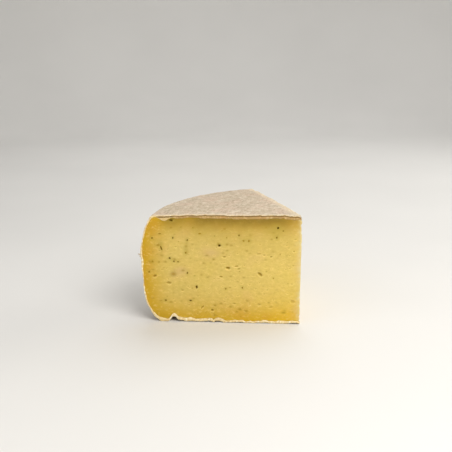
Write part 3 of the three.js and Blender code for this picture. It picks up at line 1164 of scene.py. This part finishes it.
def rind_ring():
    """The rind's ring on the level as angles and insets: along its outside, closer set towards the
    cuts, in over its edge on the front cut, along its inside, and out over its edge on the back."""
    even = np.linspace(0, 1, OUTSIDE_STEPS)
    outer = CUT_ANGLE * (even - 0.5 * np.sin(2 * np.pi * even) / (2 * np.pi))
    inner = CUT_ANGLE * np.linspace(0, 1, INSIDE_STEPS)
    edge = np.array([0.1, 0.24, 0.42, 0.62, 0.8, 0.93])
    angle = np.concatenate([outer[::-1], 0 * edge, inner, 0 * edge + CUT_ANGLE])
    return angle, np.concatenate([0 * outer, edge, 0 * inner + 1, edge[::-1]])


def lumps(points, plan):
    """How far the rind's outside stands out: noise of two sizes, and of a third near the cuts."""
    relief = 0.2 * noise(points, 4.5, 21) + 0.12 * noise(points, 1.9, 22) - 0.12
    return relief + bell(from_cuts(plan), 2.2) * (0.3 * noise(points, 2.2, 23) - 0.02)


def edge_crown(points, across, proud):
    """How far the rind's edge stands out of the cut: proud * (1 - w^2) - 0.35w^4, w running from -1
    at the outside to 1 at the paste, with the first term made ragged by noise of two sizes."""
    w = 2 * across**0.8 - 1
    ragged = 1 + 0.6 * noise(points, 2.4, 24) + 0.5 * noise(points, 1.2, 25)
    return proud * ragged * (1 - w**2) - 0.35 * w**4


def build_rind(settings):
    """The rind: a ring of its outside, its two cut edges and its inside, carried along the wheel's
    outline from the tip under the piece, up the rim and back to the tip over the top."""
    radius, height, facing_out, facing_up, path = rind_outline()
    angle, inset = rind_ring()
    plan = outward(angle) * radius[:, None, None]
    across = np.broadcast_to(inset, plan.shape[:2])
    levels = np.broadcast_to(height[:, None], plan.shape[:2])
    points = layer(plan, levels, across, settings)
    facing = outward(angle) * facing_out[:, None, None] + UP * facing_up[:, None, None]
    points = points + facing * (lumps(points, plan) * (1 - across))[..., None]
    crown = edge_crown(points, across, settings.proud * 1000)
    for on_cut, out in ((angle == 0, -sideways(0)), (angle == CUT_ANGLE, sideways(CUT_ANGLE))):
        points = points + out * (on_cut * crown)[..., None]
    points[..., 2] = np.maximum(points[..., 2], 0)
    rim, underside, top = thicknesses(plan, levels, settings)
    over = np.clip(facing_up, 0, 1)[:, None] ** 2
    under = np.clip(-facing_up, 0, 1)[:, None] ** 2
    whole = rim * (1 - over - under) + top * over + underside * under
    beyond = from_cuts(points)
    between_cuts = (angle > 0) & (angle < CUT_ANGLE)
    soft = 0.72 + 0.2 * noise(points, 2, 26)
    values = {
        "depth": across * whole,
        "cut": 1 - smooth(beyond, 0.2, 0.9) * between_cuts,
        "top": smooth(levels, HEIGHT - 2.2, HEIGHT - 0.6),
        "crusted": over * (1 - smooth(radius, 121, 125))[:, None] + 0 * across,
        "tanned": (1 - smooth(radius, 106, 113))[:, None] + 0 * across,
        "golden": smooth(across, soft, 1.15) * (1 - over),
        "near_cut": bell(beyond, 5),
    }
    piece = tube_object("rind", points, values, rind_finish(settings))
    path_along = with_ends(path[:, None] + 0 * across)
    add_map(piece, "around", with_ends(angle * 100 + 0 * across), path_along)
    add_map(piece, "section", path_along, with_ends(across * whole))
    return piece


def cut_axes(cut, turn):
    """Three directions for each of a row of cuts, 0 the front and 1 the back: along it from the
    tip, out of it, and up it, with the first and the last turned in its plane."""
    along = outward(cut * CUT_ANGLE)
    out = np.where(cut[:, None] == 0, -sideways(0), sideways(CUT_ANGLE))
    cosine, sine = np.cos(turn)[:, None], np.sin(turn)[:, None]
    return np.stack([along * cosine + UP * sine, out, UP * cosine - along * sine], 1)


def build_crumbs(settings, material):
    """Crumbs of rind on its cut edges, and the shred that sticks out at the rim's edge: uneven
    balls with their places drawn by chance along the outline."""
    radius, height, _, facing_up, path = rind_outline()
    rng = np.random.default_rng(61)
    count = 110
    pick = rng.integers(8, len(radius) - 8, count)
    cut = np.arange(count) % 2
    plan = outward(cut * CUT_ANGLE) * radius[pick][:, None]
    axes = cut_axes(cut, np.zeros(count))
    inset = rng.uniform(0.3, 0.85, count)
    centres = layer(plan, height[pick], inset, settings) + 0.2 * axes[:, 1]
    sizes = rng.uniform(0.2, 0.55, (count, 1)) * rng.uniform(0.7, 1.3, (count, 3))
    for shred_height, out, half_length, tilt in SHRED:
        place = [-rim_radius(shred_height) - out, SHRED_INWARDS, shred_height]
        centres = np.concatenate([centres, [place]])
        axes = np.concatenate([axes, cut_axes(np.zeros(1), np.radians([tilt]))])
        sizes = np.concatenate([sizes, [[half_length, *SHRED_HALF_SIZES]]])
    points, faces = balls(centres, axes, sizes, 62, 0.22)
    points[..., 2] = np.maximum(points[..., 2], 0)
    each = len(points) // len(centres)
    none = np.zeros(len(points))
    crumb, on_top, along = np.zeros((3, len(centres)))
    crumb[:count] = 1
    on_top[:count] = np.clip(facing_up[pick], 0, 1)
    along[:count] = path[pick]
    crumb, on_top, along = np.repeat([crumb, on_top, along], each, axis=1)
    values = {"golden": none, "depth": none + 1.7, "crusted": on_top, "tanned": on_top}
    values |= {"cut": crumb, "top": 1 - crumb, "near_cut": 1 - crumb}
    piece = mesh_object("rind_crumbs", points, faces, values, material)
    add_map(piece, "around", none, none)
    add_map(piece, "section", along, none)
    return piece


def build_flecks(settings, flecks):
    """The flecks: flattened uneven balls, sunk by half into the dimples of the two cuts."""
    rows = np.concatenate(flecks)
    cut = np.repeat([0, 1], [len(part) for part in flecks])
    rng = np.random.default_rng(43)
    axes = cut_axes(cut, rng.uniform(-0.4, 0.4, len(rows)))
    centres = uneven(outward(cut * CUT_ANGLE) * rows[:, :1] + UP * rows[:, 1:2]) - 0.2 * axes[:, 1]
    sizes = np.stack([0.41 * rows[:, 2], np.full(len(rows), 0.3), 0.41 * rows[:, 3]], -1)
    points, faces = balls(centres, axes, sizes, 44, 0.3)
    dry = np.repeat(rows[:, 4], len(points) // len(rows))
    return mesh_object("flecks", points, faces, {"dry": dry}, leaf_finish(settings))


def build_floor(settings):
    """A round floor that curves up into a low wall all round: its section is a line, a quarter
    circle and a line, turned about the upright axis, with the middle closed by a fan."""
    radius = settings.floor_radius
    under = 0.0001
    bend = 0.7
    columns = 72
    turn = np.linspace(0, np.pi / 2, 16)
    section_radius = np.concatenate([[0.2, 0.6], radius + bend * np.sin(turn), [radius + bend]])
    section_height = np.concatenate([[0, 0], bend * (1 - np.cos(turn)), [1.5]])
    ring = outward(np.arange(columns) * 2 * np.pi / columns)
    points = ring * section_radius[:, None, None] + UP * section_height[:, None, None]
    fan = [(points.size // 3, (here + 1) % columns, here) for here in range(columns)]
    faces = grid_quads(len(points), columns).tolist() + fan
    points = np.concatenate([points.reshape(-1, 3), [0 * UP]]) - UP * under
    return mesh_object("floor", points, faces, {}, floor_finish(settings))


def add_light(name, power, place, target, size, colour):
    """A soft square light at a place, turned to a target."""
    light = bpy.data.lights.new(name, "AREA")
    light.size = size
    light.energy = power
    light.color = colour
    lamp = bpy.data.objects.new(name, light)
    lamp.location = place
    lamp.rotation_euler = (Vector(target) - Vector(place)).to_track_quat("-Z", "Y").to_euler()
    lamp.visible_camera = False
    bpy.context.scene.collection.objects.link(lamp)


def add_camera(settings):
    """The camera where the photograph was taken from: its place from the tip, its heading to the
    left of straight ahead, its pitch downwards and its slight roll."""
    heading, pitch, roll = np.radians(CAMERA_TURNS)
    ahead = Vector((-math.sin(heading), math.cos(heading), -math.tan(pitch))).normalized()
    level = ahead.cross(Vector(UP)).normalized()
    above = level.cross(ahead)
    right = level * math.cos(roll) + above * math.sin(roll)
    top = above * math.cos(roll) - level * math.sin(roll)
    turned = Matrix((right, top, -ahead)).transposed().to_4x4()
    camera = bpy.data.objects.new("camera", bpy.data.cameras.new("camera"))
    camera.data.lens = settings.lens
    camera.data.sensor_width = 36
    camera.matrix_world = Matrix.Translation(tip_place() + CAMERA_PLACE) @ turned
    bpy.context.scene.collection.objects.link(camera)
    bpy.context.scene.camera = camera


class AddPaste(bpy.types.Operator):
    """Add the paste of the piece, with its eyes, its golden margin and its worn tip with a painted
    highlight
    """

    bl_idname = "cheese.add_paste"
    bl_label = "Add paste"

    def execute(self, context):
        scene = context.scene
        flecks = fleck_places(scene.cheese_flecks)
        attach(build_paste(scene.cheese_paste, scene.cheese_rind, flecks))
        return {"FINISHED"}


class AddRind(bpy.types.Operator):
    """Add the rind of the rim, the top and the underside, with its crumbs and its shred"""

    bl_idname = "cheese.add_rind"
    bl_label = "Add rind"

    def execute(self, context):
        settings = context.scene.cheese_rind
        rind = build_rind(settings)
        attach(rind)
        attach(build_crumbs(settings, rind.data.materials[0]))
        return {"FINISHED"}


class AddFlecks(bpy.types.Operator):
    """Add the flecks of wild garlic leaf in both cuts"""

    bl_idname = "cheese.add_flecks"
    bl_label = "Add flecks"

    def execute(self, context):
        settings = context.scene.cheese_flecks
        attach(build_flecks(settings, fleck_places(settings)))
        return {"FINISHED"}


class AddStage(bpy.types.Operator):
    """Add the floor, the soft lights and the camera"""

    bl_idname = "cheese.add_stage"
    bl_label = "Add stage"

    def execute(self, context):
        settings = context.scene.cheese_stage
        build_floor(settings)
        for name, light in LIGHTS.items():
            add_light(name, getattr(settings, name), *light)
        world = bpy.data.worlds.new("sky")
        world.use_nodes = True
        sky = world.node_tree.nodes["Background"].inputs
        sky["Color"].default_value = (1, 1, 1, 1)
        sky["Strength"].default_value = settings.sky
        context.scene.world = world
        context.scene.view_settings.view_transform = "Standard"
        add_camera(settings)
        return {"FINISHED"}


class CheesePanel(bpy.types.Panel):
    """The buttons that add the cheese's pieces, each with its settings"""

    bl_idname = "VIEW3D_PT_wild_garlic_cheese"
    bl_label = "Wild garlic cheese"
    bl_space_type = "VIEW_3D"
    bl_region_type = "UI"
    bl_category = "Cheese"

    def draw(self, context):
        for operator, key, group in STEPS:
            box = self.layout.box()
            box.operator(operator.bl_idname)
            settings = getattr(context.scene, key)
            for name in group.__annotations__:
                box.prop(settings, name)


STEPS = (
    (AddPaste, "cheese_paste", PasteSettings),
    (AddRind, "cheese_rind", RindSettings),
    (AddFlecks, "cheese_flecks", FleckSettings),
    (AddStage, "cheese_stage", StageSettings),
)


def register():
    """Registers the settings, the operators and the panel."""
    for operator, key, group in STEPS:
        bpy.utils.register_class(group)
        setattr(bpy.types.Scene, key, bpy.props.PointerProperty(type=group))
        bpy.utils.register_class(operator)
    bpy.utils.register_class(CheesePanel)


def unregister():
    """Takes away what register added."""
    bpy.utils.unregister_class(CheesePanel)
    for operator, key, group in STEPS:
        bpy.utils.unregister_class(operator)
        delattr(bpy.types.Scene, key)
        bpy.utils.unregister_class(group)


def main():
    register()
    bpy.ops.cheese.add_paste()
    bpy.ops.cheese.add_rind()
    bpy.ops.cheese.add_flecks()
    bpy.ops.cheese.add_stage()


if __name__ == "__main__":
    main()
